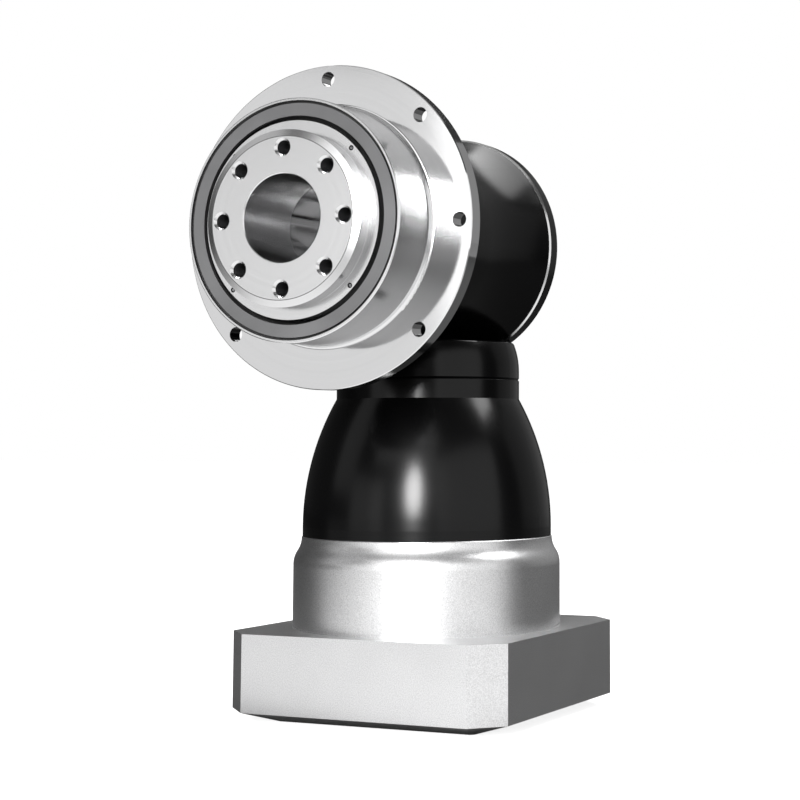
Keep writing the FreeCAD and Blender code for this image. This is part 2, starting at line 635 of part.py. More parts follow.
def make_adapter_collar():
    groove_r = "collar_r - collar_foot"
    groove_base = "plate_top + collar_foot"
    groove_top = "plate_top + 2 * collar_foot"
    body = turned("adapter_collar", [
        ("hub_room_r", "plate_top"), ("collar_r", "plate_top"), ("collar_r", groove_base),
        (groove_r, groove_base), (groove_r, groove_top), ("collar_r", groove_top),
        ("collar_r", "collar_shoulder", "left", "collar_arc"),
        ("collar_r - collar_run / 2", "collar_shoulder + collar_rise / 2", "right", "collar_arc"),
        ("collar_r - collar_run", "collar_shoulder + collar_rise"), ("bell_base_r", "collar_top"),
        ("collar_bore_r", "collar_top"), ("collar_bore_r", "web_top"), ("hub_room_r", "web_top")])
    bored(body, "plate_screw_taps", "plate_screw_circle_r", [("screw5_r + fit", "plate_top", "web_top")], "4")
    bored(body, "collar_screw_holes", "collar_screw_circle_r",
          [("screw5_head_r + head_room", "plate_top", "collar_screw_seat"),
           ("screw5_r + fit", "collar_screw_seat", "collar_top")], "6", turn=30)
    pocket(body, "access_bore", circle(new_sketch(body, "access_outline"), "clamp_screw_arm", "clamp_middle",
                                       "access_r"), "collar_r")
    cap_screws("adapter_collar_screws", "screw5", "collar_screw_circle_r", "collar_screw_seat",
               "collar_top - collar_screw_seat + screw5_grip", "6", turn=30)


def make_access_plug():
    body = tube("access_plug", "0", "access_r - fit", "0", "plug_length")
    socket = new_sketch(body, "plug_socket", role="XY_Plane", shift=("0", "0", "plug_length"))
    pocket(body, "plug_socket_cut", hexagon(socket, "0", "0", "screw6_socket"), "plug_length * socket_share")
    body.Placement = FreeCAD.Placement(Vector(), FreeCAD.Rotation(Vector(1, 0, 0), -90))
    body.setExpression("Placement.Base.x", bind("clamp_screw_arm"))
    body.setExpression("Placement.Base.y", bind("plug_out - plug_length"))
    body.setExpression("Placement.Base.z", bind("clamp_middle"))


def make_input_bell():
    spigot_r = "collar_bore_r - fit"
    spigot_base = "collar_top - bell_spigot"
    sleeve_bore = "sleeve_r + fit"
    body = turned("input_bell", [
        ("bell_bore_r", spigot_base), (spigot_r, spigot_base), (spigot_r, "collar_top"),
        ("bell_base_r", "collar_top"), ("bell_base_r", "flare_base", "left", "bell_arc"),
        ("neck_r", "bell_kink"), ("neck_r", "bell_top - neck_groove"), ("neck_edge_r", "bell_top"),
        (sleeve_bore, "bell_top"), (sleeve_bore, "bell_ledge"), ("bell_bore_r", "bell_ledge")])
    bored(body, "bell_taps", "collar_screw_circle_r",
          [("screw5_r + fit", "collar_top", "collar_top + screw5_grip + tap_room")], "6", turn=30)
    bored(body, "bell_screw_holes", "bell_screw_circle_r",
          [("screw4_r + fit", "bell_ledge", "bell_top")], "6")
    cap_screws("input_bell_screws", "screw4", "bell_screw_circle_r", "bell_ledge",
               "bell_roof + screw4_grip", "6")


# Main housing: a domed neck on the input axis and a flared barrel on the output axis

def make_main_housing():
    body = new_body("main_housing")
    revolve(body, "neck", outline(new_sketch(body, "neck_profile"), [
        ("0", "input_seal_base"), ("sleeve_r", "input_seal_base"), ("sleeve_r", "bell_top"),
        ("neck_edge_r", "bell_top"), ("neck_r", "bell_top + neck_groove"),
        ("neck_r", "dome_base", "left", "dome_r"),
        ("dome_middle_r + dome_run * dome_share", "dome_base + dome_lift * dome_share", "left", "dome_edge"),
        ("dome_middle_r + dome_run", "dome_top"), ("throat_boss_r", "dome_top"),
        ("throat_boss_r", "axis_height"), ("0", "axis_height")]))
    groove(body, "rear_trim", rectangle(output_sketch(body, "trim_profile"), "rear_face",
                                        "rear_face + neck_r", "0", "rim_r + rim_clear"), axis="H_Axis")
    revolve(body, "barrel", outline(output_sketch(body, "barrel_profile"), [
        ("-(flange_back)", "0"), ("-(flange_back)", "barrel_flange_r"),
        ("-(barrel_back)", "barrel_flange_r"), ("-(barrel_back)", "barrel_r"),
        ("flare_start", "barrel_r", "left", "flare_arc"), ("rim_start - rim_edge", "rim_r - rim_edge"),
        ("rim_start", "rim_r"), ("rear_face - rim_edge", "rim_r"), ("rear_face", "rim_r - rim_edge"),
        ("rear_face", "0")]), axis="H_Axis")
    groove(body, "barrel_bore", outline(output_sketch(body, "barrel_bore_profile"), [
        ("-(flange_back)", "0"), ("-(flange_back)", "barrel_bore_r"), ("-barrel_bore_end", "barrel_bore_r"),
        ("-barrel_bore_end", "barrel_rear_r"), ("cover_front", "barrel_rear_r"), ("cover_front", "cover_r"),
        ("rear_face", "cover_r"), ("rear_face", "0")]), axis="H_Axis")
    groove(body, "flange_seal_groove", rectangle(output_sketch(body, "flange_seal_profile"),
           "-(flange_back)", "-(flange_back - 2 * oring_r)", "oring_flange_r - oring_r",
           "oring_flange_r + oring_r"), axis="H_Axis")
    groove(body, "pinion_bore", outline(new_sketch(body, "pinion_bore_profile"), [
        ("0", "input_seal_base"), ("bore_cup_r", "input_seal_base"), ("bore_cup_r", "upper_seat"),
        ("throat_r", "upper_seat"), ("throat_r", "axis_height"), ("0", "axis_height")]))
    groove(body, "neck_seal_groove", rectangle(new_sketch(body, "neck_seal_profile"),
           "oring_neck_r - oring_r", "sleeve_r", "oring_neck_height - oring_r",
           "oring_neck_height + oring_r"))
    bored(body, "neck_taps", "bell_screw_circle_r",
          [("screw4_r + fit", "bell_top", "bell_top + screw4_grip + tap_room")], "6")
    bored(body, "barrel_screw_holes", "barrel_screw_circle_r",
          [("screw4_r + fit", "-(flange_back)", "-(barrel_back)")], "8", turn=22.5, on_output=True)
    bored(body, "cover_taps", "cover_screw_circle_r",
          [("screw3_r + fit", "cover_front - screw3_grip - tap_room", "cover_front")], "6", turn=30,
          on_output=True)
    ring = o_ring("neck_o_ring", "oring_neck_r")
    ring.setExpression("Placement.Base.z", bind("oring_neck_height"))


# Output side

def make_rear_cover():
    bearing_r = "rear_bearing_r + fit"
    end_r = "rear_circle_r"
    end_back = "-(rear_bearing_back + cover_end_room)"
    body = on_output_axis(turned("rear_cover", [
        ("0", "-(cover_back)"), ("cover_boss_r - cover_boss_bevel", "-(cover_back)"),
        ("cover_boss_r", "-(cover_back - cover_boss_bevel)"), ("cover_boss_r", "-(rear_face)"),
        ("cover_r - fit", "-(rear_face)"), ("cover_r - fit", "-(cover_front)"), (bearing_r, "-(cover_front)"),
        (bearing_r, "-(rear_bearing_back)"), (end_r, "-(rear_bearing_back)"), (end_r, end_back),
        ("0", end_back)]))
    groove(body, "cover_seal_groove", rectangle(new_sketch(body, "cover_seal_profile"),
           "oring_cover_r - oring_r", "oring_cover_r + oring_r", "-(cover_front + 2 * oring_r)",
           "-(cover_front)"))
    bored(body, "cover_screw_holes", "cover_screw_circle_r",
          [("screw3_r + fit", "-(rear_face)", "-(cover_front)")], "6")
    on_output_axis(cap_screws("rear_cover_screws", "screw3", "cover_screw_circle_r", "-(rear_face)",
                              "cover_thickness + screw3_grip", "6"))
    on_output_axis(o_ring("rear_cover_o_ring", "oring_cover_r"), "-(cover_front + oring_r)")


def make_flange_housing():
    lip_back = "flange_back - spigot_lip_length"
    lip_r = "barrel_bore_r - fit"
    bearing_r = "main_bearing_r + fit"
    body = on_output_axis(turned("flange_housing", [
        ("spigot_lip_r", lip_back), (lip_r, lip_back), (lip_r, "flange_back"),
        ("flange_r - edge_break", "flange_back"), ("flange_r", "flange_back + edge_break"),
        ("flange_r", "flange_reach - edge_break"), ("flange_r - edge_break", "flange_reach"),
        ("hub_r + hub_root", "flange_reach", "right", "hub_root"), ("hub_r", "flange_reach + hub_root"),
        ("hub_r", "shoulder_front - hub_bevel"),
        ("hub_r - hub_bevel", "shoulder_front"), ("seal_bore_r", "shoulder_front"),
        ("seal_bore_r", "bearing_front"), (bearing_r, "bearing_front"), (bearing_r, "bearing_back"),
        ("spigot_lip_r", "bearing_back")]))
    bored(body, "flange_holes", "flange_bolt_circle_r",
          [("flange_hole_r", "flange_back", "flange_reach")], "7", turn=-45, angle=270)
    bored(body, "flange_taps", "barrel_screw_circle_r",
          [("screw4_r + fit", "flange_back", "flange_back + flange_screw_grip + tap_room")], "8", turn=22.5)
    on_output_axis(cap_screws("flange_housing_screws", "screw4", "barrel_screw_circle_r", "barrel_back",
                              "barrel_flange_thickness + flange_screw_grip", "8", turn=22.5))
    on_output_axis(o_ring("flange_o_ring", "oring_flange_r"), "flange_back - oring_r")


def make_output_rotor():
    bore_end = "face_reach - output_bore_depth"
    relief = "bearing_front + shoulder_relief"
    body = on_output_axis(turned("output_rotor", [
        ("0", "-(rear_bearing_back)"), ("rotor_tail_r", "-(rear_bearing_back)"),
        ("rotor_tail_r", "ring_web_face"), ("gear_seat_r", "ring_web_face"), ("gear_seat_r", "ring_back"),
        ("gear_flange_r", "ring_back"), ("gear_flange_r", "gear_flange_front"),
        ("rotor_shaft_r", "gear_flange_front"), ("rotor_shaft_r", "rotor_nut_back"),
        ("rotor_thread_r", "rotor_nut_back"), ("rotor_thread_r", "bearing_back"),
        ("journal_r", "bearing_back"), ("journal_r", "bearing_front"), ("inner_ring_r", "bearing_front"),
        ("inner_ring_r", relief), ("shoulder_r", relief), ("shoulder_r", "shoulder_front"),
        ("spigot_r", "shoulder_front"), ("spigot_r", "face_reach - spigot_bevel_drop"),
        ("spigot_r - spigot_bevel", "face_reach"), ("output_bore_r + bore_edge", "face_reach"),
        ("output_bore_r", "face_reach - bore_edge"), ("output_bore_r", bore_end), ("0", bore_end)]))
    sink_start = "face_reach - face_countersink"
    bored(body, "face_taps", "face_bolt_circle_r",
          [("face_tap_r", "face_reach - face_tap_depth", sink_start),
           ("face_tap_r", sink_start, "face_reach", "face_tap_r + face_countersink")], "8")
    bored(body, "shoulder_pin_holes", "pin_circle_r",
          [("pin_hole_r", "shoulder_front - pin_hole_depth", "shoulder_front")], "4", turn=45)
    bored(body, "gear_taps", "gear_screw_circle_r",
          [("screw3_r + fit", "ring_back", "ring_back + screw3_grip + tap_room")], "6", turn=30)
    nut = on_output_axis(tube("rotor_lock_nut", "rotor_thread_r + fit", "rotor_nut_r", "rotor_nut_back",
                              "bearing_back"))
    bored(nut, "rotor_nut_slots", "rotor_nut_r",
          [("key_slot_r", "rotor_nut_back", "rotor_nut_back + key_slot_depth")], "4")


def make_main_bearing():
    """Crossed-roller bearing: rollers lie at right angles to each other in turn, between two V tracks."""
    inner_root = "main_roller_circle_r - roller_reach"
    outer_root = "main_roller_circle_r + roller_reach"
    inner_edge = "(inner_ring_r - (%s))" % inner_root
    outer_edge = "(%s - (outer_ring_r))" % outer_root
    on_output_axis(turned("main_bearing_inner_ring", [
        ("journal_r + fit", "bearing_back"), ("inner_ring_r", "bearing_back"),
        ("inner_ring_r", "bearing_middle - " + inner_edge), (inner_root, "bearing_middle"),
        ("inner_ring_r", "bearing_middle + " + inner_edge), ("inner_ring_r", "bearing_front"),
        ("journal_r + fit", "bearing_front")]))
    on_output_axis(turned("main_bearing_outer_ring", [
        ("main_bearing_r", "bearing_back"), ("main_bearing_r", "bearing_front"),
        ("outer_ring_r", "bearing_front"), ("outer_ring_r", "bearing_middle + " + outer_edge),
        (outer_root, "bearing_middle"), ("outer_ring_r", "bearing_middle - " + outer_edge),
        ("outer_ring_r", "bearing_back")]))
    rollers = on_output_axis(new_body("main_bearing_rollers"))
    half = "main_roller_length / 2 * sqrt(0.5)"
    side = "main_roller_r * sqrt(0.5)"
    for name, lean, turn in (("first", 1, 0), ("second", -1, value("360 / main_rollers"))):
        ends = [("main_roller_circle_r - " + half, "bearing_middle - %d * %s" % (lean, half)),
                ("main_roller_circle_r + " + half, "bearing_middle + %d * %s" % (lean, half))]
        rims = [("%s + %s" % (r, side), "%s - %d * %s" % (station, lean, side)) for r, station in ends]
        sketch = new_sketch(rollers, name + "_roller_profile", turn=turn)
        outline(sketch, [ends[0], rims[0], rims[1], ends[1]])
        centre_line(sketch, *ends)
        roller = revolve(rollers, name + "_roller", sketch, axis="Axis0")
        ring_of(rollers, name + "_rollers", roller, "main_rollers / 2")
    on_output_axis(tube("bearing_retaining_ring", "retainer_in_r", "seal_bore_r - fit", "bearing_front",
                        "seal_back"))


def make_output_seal():
    lip_top = "seal_front - seal_wall"
    outer = "seal_bore_r - fit"
    on_output_axis(turned("output_shaft_seal", [
        ("shoulder_r + running", "seal_back + seal_wall"), ("shoulder_r + seal_wall", "seal_back"),
        (outer, "seal_back"), (outer, "seal_front"), ("shoulder_r + seal_wall", "seal_front"),
        ("shoulder_r + seal_wall", lip_top)]))
    on_output_axis(tube("seal_face_ring", "seal_face_in_r", "seal_face_out_r", "seal_front",
                        "seal_front + seal_face_height"))


def make_rear_bearing():
    back = "-(rear_bearing_back)"
    front = "-(cover_front)"
    track_back = "-(rear_bearing_back - rear_rib)"
    track_front = "-(cover_front + rear_rib)"
    rib_in = "rear_circle_r - rear_ring_split"
    rib_out = "rear_circle_r + rear_ring_split"
    track_in = "rear_circle_r - rear_roller_r - running"
    track_out = "rear_circle_r + rear_roller_r + running"
    bore = "rotor_tail_r + fit"
    on_output_axis(turned("rear_bearing_inner_ring", [
        (bore, back), (rib_in, back), (rib_in, track_back), (track_in, track_back), (track_in, track_front),
        (rib_in, track_front), (rib_in, front), (bore, front)]))
    on_output_axis(turned("rear_bearing_outer_ring", [
        (rib_out, back), ("rear_bearing_r", back), ("rear_bearing_r", front), (rib_out, front),
        (rib_out, track_front), (track_out, track_front), (track_out, track_back), (rib_out, track_back)]))
    rollers = on_output_axis(new_body("rear_bearing_rollers"))
    sketch = new_sketch(rollers, "rear_roller_profile")
    low = track_back + " + running"
    high = track_front + " - running"
    rectangle(sketch, "rear_circle_r", "rear_circle_r + rear_roller_r", low, high)
    centre_line(sketch, ("rear_circle_r", low), ("rear_circle_r", high))
    roller = revolve(rollers, "rear_roller", sketch, axis="Axis0")
    ring_of(rollers, "rear_roller_ring", roller, "rear_rollers")


# Pinion bearings: two tapered roller bearings, large ends towards each other

def make_tapered_bearing(name, base, lean):
    """Lean is 1 where the rollers' large ends point up and -1 where they point down."""
    top = base + " + taper_width"
    middle = "(%s + taper_width / 2)" % base

    def cup_track(along):
        return ("taper_circle_r + running + taper_roller_r * cos(taper_tilt) + "
                "(%s + taper_roller_r * sin(taper_tilt)) * tan(taper_tilt + taper_angle)" % along)

    def cone_track(along):
        return ("taper_circle_r - running - taper_roller_r * cos(taper_tilt) + "
                "(%s - taper_roller_r * sin(taper_tilt)) * tan(taper_tilt - taper_angle)" % along)

    def station(along):
        return "%s + %d * (%s)" % (middle, lean, along)

    large = "taper_width / 2"
    small = "-taper_width / 2"
    rib = ("(taper_roller_length / 2 * cos(taper_tilt) + taper_roller_r * sin(taper_tilt) + taper_rib_gap)")
    rib_r = cone_track(rib) + " + taper_rib"
    turned(name + "_bearing_cup", [
        (cup_track(small), station(small)), ("cup_r", station(small)), ("cup_r", station(large)),
        (cup_track(large), station(large))])
    turned(name + "_bearing_cone", [
        ("cone_r + fit", station(small)), (cone_track(small), station(small)),
        (cone_track(rib), station(rib)), (rib_r, station(rib)), (rib_r, station(large)),
        ("cone_r + fit", station(large))])
    rollers = new_body(name + "_bearing_rollers")
    ends = []
    rims = []
    for sign in (-1, 1):
        along = "%d * taper_roller_length / 2" % sign
        end_r = "(taper_roller_r + %s * tan(taper_angle))" % along
        r = "taper_circle_r + %s * sin(taper_tilt)" % along
        z = station(along + " * cos(taper_tilt)")
        ends.append((r, z))
        rims.append(("%s + %s * cos(taper_tilt)" % (r, end_r),
                     "%s - %d * %s * sin(taper_tilt)" % (z, lean, end_r)))
    sketch = new_sketch(rollers, name + "_roller_profile")
    outline(sketch, [ends[0], rims[0], rims[1], ends[1]])
    centre_line(sketch, *ends)
    roller = revolve(rollers, name + "_roller", sketch, axis="Axis0")
    ring_of(rollers, name + "_roller_ring", roller, "taper_rollers")


def make_input_fittings():
    tube("bearing_spacer", "cone_r + fit", "pinion_shoulder_r", "lower_top", "upper_base")
    nut = tube("pinion_lock_nut", "pinion_thread_r + fit", "lock_nut_r", "nut_base", "lower_base")
    bored(nut, "pinion_nut_slots", "lock_nut_r",
          [("key_slot_r", "nut_base", "nut_base + key_slot_depth")], "4")
    ring = tube("bearing_adjust_ring", "adjust_ring_in_r", "cup_r", "nut_base", "lower_base")
    bored(ring, "adjust_ring_slots", "adjust_ring_in_r",
          [("key_slot_r", "nut_base", "nut_base + key_slot_depth")], "4")
    seal_top = "input_seal_base + input_seal_height"
    seal_floor = "input_seal_base + seal_wall"
    turned("input_shaft_seal", [
        ("seal_land_r + seal_wall", "input_seal_base"), ("cup_r", "input_seal_base"), ("cup_r", seal_top),
        ("cup_r - seal_wall", seal_top), ("cup_r - seal_wall", seal_floor),
        ("seal_land_r + 2 * seal_wall", seal_floor), ("seal_land_r + seal_wall", seal_top),
        ("seal_land_r + running", seal_top + " - seal_wall")])


def make_clamp():
    hub = turned("clamping_hub", [
        ("motor_shaft_r", "hub_base"), ("hub_sleeve_r", "hub_base"),
        ("hub_sleeve_r", "hub_top - hub_head_height"), ("hub_head_r", "hub_top - hub_head_height"),
        ("hub_head_r", "hub_top"), ("tail_end_r + fit", "hub_top"), ("tail_end_r + fit", "tail_base"),
        ("motor_shaft_r", "tail_base")])
    for role in ("XZ_Plane", "YZ_Plane"):
        sketch = new_sketch(hub, "slit_outline_" + role, role=role)
        rectangle(sketch, "-hub_slit / 2", "hub_slit / 2", "hub_base", "hub_base + hub_slit_length")
        pocket(hub, "slit_" + role, sketch, "4 * hub_sleeve_r", both=True)
    ring = tube("clamp_ring", "hub_sleeve_r + fit", "clamp_ring_r", "clamp_base",
                "clamp_base + clamp_ring_height")
    gap = new_sketch(ring, "clamp_gap_outline", role="XY_Plane", shift=("0", "0", "clamp_middle"))
    rectangle(gap, "0", "clamp_ring_r + fit", "-clamp_slit / 2", "clamp_slit / 2")
    pocket(ring, "clamp_gap", gap, "2 * clamp_ring_height", both=True)
    hole = new_sketch(ring, "clamp_hole_profile", role="XY_Plane", shift=("0", "0", "clamp_middle"))
    arm = "clamp_screw_arm"
    hole_r = arm + " + screw6_r + fit"
    head_r = arm + " + screw6_head_r + head_room"
    outline(hole, [(arm, "-clamp_ring_r"), (hole_r, "-clamp_ring_r"), (hole_r, "clamp_seat"),
                   (head_r, "clamp_seat"), (head_r, "clamp_ring_r"), (arm, "clamp_ring_r")])
    centre_line(hole, (arm, "-clamp_ring_r"), (arm, "clamp_ring_r"))
    groove(ring, "clamp_hole", hole, axis="Axis0")
    screw = cap_screws("clamp_screw", "screw6", "0", "-clamp_seat", "clamp_screw_length", "1")
    screw.Placement = FreeCAD.Placement(Vector(), FreeCAD.Rotation(Vector(1, 0, 0), 90))
    screw.setExpression("Placement.Base.x", bind(arm))
    screw.setExpression("Placement.Base.z", bind("clamp_middle"))


# Hypoid teeth. Ring teeth follow a circular arc along their length and have straight flanks on a cone.
# The pinion's tooth spaces are the room that the ring teeth sweep as both turn in the gear ratio.

RATIO = value("ring_teeth / pinion_teeth")
MEAN_R = value("(ring_in_r + ring_out_r) / 2")
CUTTER_R = value("cutter_r")
CUTTER_ARM = math.sqrt(MEAN_R ** 2 + CUTTER_R ** 2
                       - 2 * MEAN_R * CUTTER_R * math.sin(math.radians(value("spiral_angle"))))
SECTIONS = 7
FLANK_POINTS = 5
END_ROOM = 1
SWEEP = [math.radians(-90 + step * 0.5) for step in range(-140, 141)]


def spread(first, last, count):
    return [first + (last - first) * number / (count - 1) for number in range(count)]


def arc_angle(rho):
    return math.acos((rho ** 2 + CUTTER_ARM ** 2 - CUTTER_R ** 2) / (2 * rho * CUTTER_ARM))


def spiral_at(rho):
    return math.asin((rho ** 2 + CUTTER_R ** 2 - CUTTER_ARM ** 2) / (2 * rho * CUTTER_R))


def tooth_lead(rho):
    """Angle of a ring tooth's middle at one radius, from its place at the mean radius."""
    return arc_angle(MEAN_R) - arc_angle(rho)


def ring_tip(rho):
    return rho / RATIO - value("ring_addendum") * rho / MEAN_R


def ring_root(rho):
    return rho / RATIO + value("ring_dedendum") * rho / MEAN_R


def ring_half_angle(rho, depth):
    """Half the angle that a ring tooth takes up at one radius and depth."""
    slope = math.tan(math.radians(value("pressure_angle"))) / math.cos(spiral_at(rho))
    return math.pi / value("ring_teeth") / 2 + (depth - rho / RATIO) * slope / rho


def turned_shape(corners):
    points = [Vector(r, 0, station) for r, station in corners]
    face = Part.Face(Part.makePolygon(points + points[:1]))
    return face.revolve(Vector(), Vector(0, 0, 1), 360)


def around(shape, count):
    copies = []
    for number in range(count):
        copy = shape.copy()
        copy.rotate(Vector(), Vector(0, 0, 1), 360 * number / count)
        copies.append(copy)
    return copies


def ring_tooth():
    """One ring tooth as a loft of trapezoids from the inner to the outer radius, sunk into the blank."""
    margin = value("tooth_margin")
    wires = []
    for rho in spread(value("ring_in_r") + margin, value("ring_out_r") - margin, SECTIONS):
        tip, root = ring_tip(rho), ring_root(rho) + margin
        corners = []
        for depth, side in ((tip, -1), (tip, 1), (root, 1), (root, -1)):
            angle = math.pi + tooth_lead(rho) + side * ring_half_angle(rho, depth)
            corners.append(Vector(rho * math.sin(angle), rho * math.cos(angle), depth))
        wires.append(Part.makePolygon(corners + corners[:1]))
    return Part.makeLoft(wires, True)


def make_ring_gear():
    bore = value("gear_seat_r + fit")
    inner, outer = value("ring_in_r"), value("ring_out_r")
    web, back = value("ring_web_face"), value("ring_back")
    blank = turned_shape([(bore, web), (inner, web), (inner, ring_root(inner)), (outer, ring_root(outer)),
                          (outer, back), (bore, back)])
    hole_at = Vector(value("gear_screw_circle_r"), 0, web)
    hole = Part.makeCylinder(value("screw3_r + fit"), back - web, hole_at)
    hole.rotate(Vector(), Vector(0, 0, 1), 30)
    blank = blank.cut(around(hole, 6))
    on_output_axis(solid_piece("ring_gear", blank.multiFuse(around(ring_tooth(), int(value("ring_teeth"))))))
    on_output_axis(cap_screws("ring_gear_screws", "screw3", "gear_screw_circle_r", "ring_web_face",
                              "ring_back - ring_web_face + screw3_grip", "6", turn=30))


def pinion_space(r, drop):
    """Angles between which ring teeth pass at one pinion radius and drop below the output axis."""
    limits = []
    inner, outer = value("ring_in_r"), value("ring_out_r")
    for alpha in SWEEP:
        x, depth = r * math.cos(alpha) - value("axis_offset"), -r * math.sin(alpha)
        rho = math.hypot(x, drop)
        if not inner - END_ROOM < rho < outer + END_ROOM or depth < ring_tip(rho):
            continue
        centre = alpha + RATIO * (math.atan2(-x, drop) - tooth_lead(rho))
        play = value("backlash") / 2 / rho / math.cos(spiral_at(rho))
        reach = RATIO * (ring_half_angle(rho, depth) + play)
        limits += [centre - reach, centre + reach]
    return (min(limits), max(limits)) if limits else None


def pinion_root(drop):
    return drop / RATIO - (value("ring_addendum") + value("tip_clearance")) * drop / MEAN_R


def pinion_tip(drop):
    return drop / RATIO + (value("ring_dedendum") - value("tip_clearance")) * drop / MEAN_R


def pinion_section(drop):
    """The outline of one pinion tooth at one height: two flanks joined by lines at the tip and the root."""
    flanks = []
    pitch = 2 * math.pi / value("pinion_teeth")
    for r in spread(drop / RATIO - value("ring_addendum") / 2, pinion_tip(drop), FLANK_POINTS):
        low, high = pinion_space(r, drop)
        flanks.append((r, high, low + pitch))
    (near, near_low, near_high), (far, far_low, far_high) = flanks[:2]
    sunk = pinion_root(drop) - value("tooth_margin")
    step = (sunk - near) / (far - near)
    sunk_low, sunk_high = near_low + (far_low - near_low) * step, near_high + (far_high - near_high) * step
    flanks.insert(0, (sunk, sunk_low, sunk_high))
    height = value("axis_height") - drop
    first = [Vector(r * math.cos(low), r * math.sin(low), height) for r, low, high in flanks]
    second = [Vector(r * math.cos(high), r * math.sin(high), height) for r, low, high in reversed(flanks)]
    curves = []
    for points in (first, second):
        curve = Part.BSplineCurve()
        curve.interpolate(points)
        curves.append(curve.toShape())
    edges = [curves[0], Part.makeLine(first[-1], second[0]), curves[1], Part.makeLine(second[-1], first[0])]
    return Part.Wire(edges)


def make_pinion_shaft():
    margin = value("tooth_margin")
    small, large = value("ring_in_r"), value("ring_out_r")
    head_base, head_top = value("axis_height") - large - margin, value("axis_height") - small + margin
    shoulder = value("upper_seat + pinion_shoulder_height")
    tail_r, land_r, thread_r = value("tail_end_r"), value("seal_land_r"), value("pinion_thread_r")
    seat_r, shoulder_r = value("cone_r"), value("pinion_shoulder_r")
    waist_r = pinion_root(large + margin)
    core = turned_shape([
        (0, value("tail_base")), (tail_r, value("tail_base")), (tail_r, value("hub_top")),
        (land_r, value("hub_top")), (land_r, value("nut_base")), (thread_r, value("nut_base")),
        (thread_r, value("lower_base")), (seat_r, value("lower_base")), (seat_r, value("upper_seat")),
        (shoulder_r, value("upper_seat")), (shoulder_r, shoulder), (waist_r, head_base),
        (pinion_root(small - margin), head_top), (0, head_top)])
    tooth = Part.makeLoft([pinion_section(drop) for drop in spread(large, small, SECTIONS)], True)
    solid_piece("pinion_shaft", core.multiFuse(around(tooth, int(value("pinion_teeth")))))


make_motor_plate()
make_adapter_collar()
make_access_plug()
make_input_bell()
make_main_housing()
make_rear_cover()
make_flange_housing()
make_output_rotor()
make_main_bearing()
make_output_seal()
make_rear_bearing()
make_tapered_bearing("upper", "upper_base", -1)
make_tapered_bearing("lower", "lower_base", 1)
make_input_fittings()
make_clamp()
make_ring_gear()
make_pinion_shaft()
doc.recompute()

for item in doc.Objects:
    if "Invalid" in item.State or "Error" in item.State:
        raise RuntimeError("%s is %s" % (item.Label, item.State))
for node in NODES:
    if node.Shape.isNull() or not node.Shape.isValid() or not node.Shape.Solids:
        raise RuntimeError(node.Label + " has no valid shape")

os.makedirs("parts", exist_ok=True)
for node in NODES:
    node.Shape.exportStep("parts/%s.step" % node.Label)
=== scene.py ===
import json
import math

import bmesh
import bpy
from mathutils import Matrix, Vector


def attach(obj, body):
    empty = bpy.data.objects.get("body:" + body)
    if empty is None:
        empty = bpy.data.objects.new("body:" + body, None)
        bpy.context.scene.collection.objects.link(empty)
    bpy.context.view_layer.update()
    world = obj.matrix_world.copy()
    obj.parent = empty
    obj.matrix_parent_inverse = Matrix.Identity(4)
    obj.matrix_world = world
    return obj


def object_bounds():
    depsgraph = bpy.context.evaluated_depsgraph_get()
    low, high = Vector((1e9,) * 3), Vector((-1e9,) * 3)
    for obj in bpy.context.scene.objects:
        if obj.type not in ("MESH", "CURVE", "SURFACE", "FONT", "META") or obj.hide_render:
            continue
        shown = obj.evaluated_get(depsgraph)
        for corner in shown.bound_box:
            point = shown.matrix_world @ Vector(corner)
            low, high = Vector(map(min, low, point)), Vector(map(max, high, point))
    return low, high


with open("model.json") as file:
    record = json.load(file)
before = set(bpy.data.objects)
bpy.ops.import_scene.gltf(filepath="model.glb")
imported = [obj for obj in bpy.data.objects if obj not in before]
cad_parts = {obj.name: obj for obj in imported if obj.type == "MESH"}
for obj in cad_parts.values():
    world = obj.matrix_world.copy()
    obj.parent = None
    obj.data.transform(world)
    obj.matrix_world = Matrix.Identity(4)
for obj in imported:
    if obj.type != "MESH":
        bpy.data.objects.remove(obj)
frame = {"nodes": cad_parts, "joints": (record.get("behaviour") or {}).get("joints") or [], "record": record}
cad_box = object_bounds()

# Camera, as the photograph was taken: place in metres, angles in degrees, lens in image widths.
# The picture is a cut from the side of a wider one, so the lens is shifted.
CAMERA_PLACE = (0.355604, -0.660619, 0.109581)
CAMERA_TURN = 23.946
CAMERA_PITCH = 5.501
CAMERA_ROLL = -0.085
FOCAL_WIDTHS = 2.3076
LENS_SHIFT = (-0.21085, -0.17773)
SENSOR_MM = 36.0

# Axes of the gearbox, from the frame's own joints and mounts
JOINTS = {joint["name"]: joint for joint in frame["joints"]}
MOUNTS = {mount["name"]: mount for mount in frame["record"]["mounts"]}
OUTPUT_POINT = Vector(JOINTS["output_spin"]["pos_m"])
MIDDLE = (cad_box[0] + cad_box[1]) / 2
MM = 0.001

# Distance of the flange's mounting face behind the output face
FLANGE_FRONT = MOUNTS["flange_corner_bolts"]["pos_m"][1] - OUTPUT_POINT.y

# M6 threads and the bevelled mouth of their holes, in millimetres. Root and crest are half widths in pitches.
THREAD_PITCH = 1.0
THREAD_DEPTH = 0.46
THREAD_ROOT = 0.48
THREAD_CREST = 0.08
OUTPUT_THREAD = 11.0
MOTOR_THREAD = 15.5
MOTOR_TURN = 45.0
MOUTH_LENGTH = 0.75
MOUTH_RISE = 0.35
STEPS = 28

# Pins in the rotor's shoulder, in millimetres: radius of their circle, of their holes and of the pins,
# the first one's angle in degrees, and how far they sit in
PIN_COUNT = 4
PIN_CIRCLE = 34.1
# The hole radius is also the outer radius of the dark ring of painted shade around each pin
PIN_HOLE = 0.94
PIN_RADIUS = 0.42
PIN_TURN = 45.0
PIN_DROP = 0.15
PIN_LENGTH = 1.0
